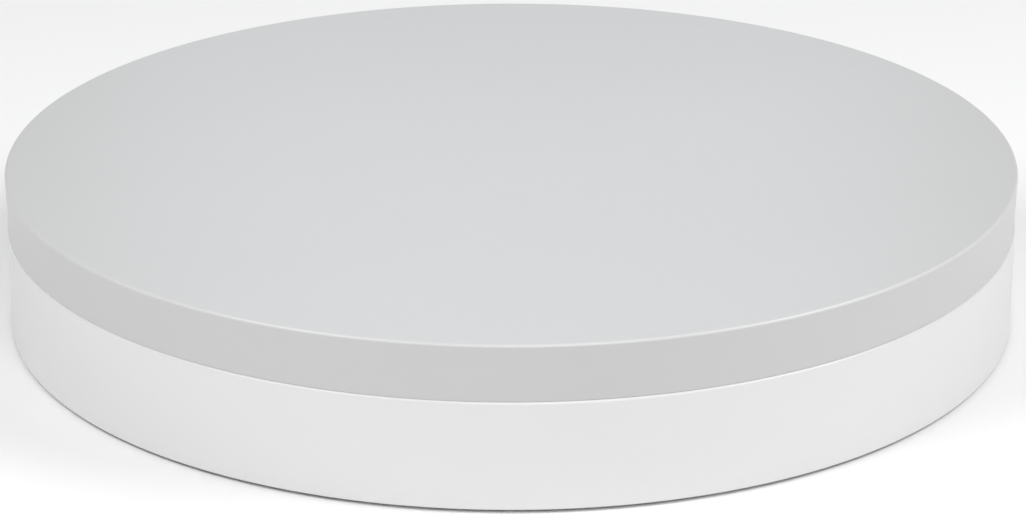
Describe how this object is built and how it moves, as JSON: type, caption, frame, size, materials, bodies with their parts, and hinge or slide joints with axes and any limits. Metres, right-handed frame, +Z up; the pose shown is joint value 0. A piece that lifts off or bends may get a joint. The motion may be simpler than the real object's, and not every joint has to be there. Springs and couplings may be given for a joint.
{
  "type": "lazy susan turntable",
  "caption": "Round two-tone lazy susan: a flat light-grey platter that turns freely on a ball bearing ring over a white drum base with rubber feet.",
  "frame": {"origin": "on the surface that it stands on, under the centre of the turntable: the middle of the feet's lowest plane", "axes": "+Z up along the turning axis; the base's feet lie on +X and every 60 degrees from it, and the round outside has no front"},
  "size_m": [0.305, 0.305, 0.049],
  "materials": {
    "platter_plastic": "smooth satin, light grey",
    "drum_plastic": "smooth satin, white",
    "race_steel": "pressed and zinc plated",
    "ball_steel": "polished",
    "screw_steel": "zinc plated",
    "nylon": "natural moulded nylon",
    "rubber": "matte grey"
  },
  "bodies": {
    "base": {"base_drum": "drum_plastic", "bottom_cover": "drum_plastic", "foot_1": "rubber", "foot_2": "rubber", "foot_3": "rubber", "foot_4": "rubber", "foot_5": "rubber", "foot_6": "rubber", "cover_screw_1": "screw_steel", "cover_screw_2": "screw_steel", "cover_screw_3": "screw_steel", "cover_screw_4": "screw_steel", "cover_screw_5": "screw_steel", "cover_screw_6": "screw_steel", "lower_race": "race_steel", "lower_race_screw_1": "screw_steel", "lower_race_screw_2": "screw_steel", "lower_race_screw_3": "screw_steel", "lower_race_screw_4": "screw_steel", "pivot_bushing": "nylon", "thrust_washer": "screw_steel"},
    "turntable": {"platter": "platter_plastic", "upper_race": "race_steel", "upper_race_screw_1": "screw_steel", "upper_race_screw_2": "screw_steel", "upper_race_screw_3": "screw_steel", "upper_race_screw_4": "screw_steel", "pivot_screw": "screw_steel"},
    "ball_ring": {"ball_cage": "nylon", "ball_1": "ball_steel", "ball_2": "ball_steel", "ball_3": "ball_steel", "ball_4": "ball_steel", "ball_5": "ball_steel", "ball_6": "ball_steel", "ball_7": "ball_steel", "ball_8": "ball_steel", "ball_9": "ball_steel", "ball_10": "ball_steel", "ball_11": "ball_steel", "ball_12": "ball_steel"}
  },
  "joints": [
    {"name": "platter_spin", "type": "hinge", "parent": "base", "child": "turntable", "pos_m": [0, 0, 0.0374], "axis": [0, 0, 1], "continuous": true},
    {"name": "cage_spin", "type": "hinge", "parent": "base", "child": "ball_ring", "pos_m": [0, 0, 0.0374], "axis": [0, 0, 1], "continuous": true}
  ],
  "couplings": [
    {"joint": "cage_spin", "follows": "platter_spin", "ratio": 0.5}
  ]
}
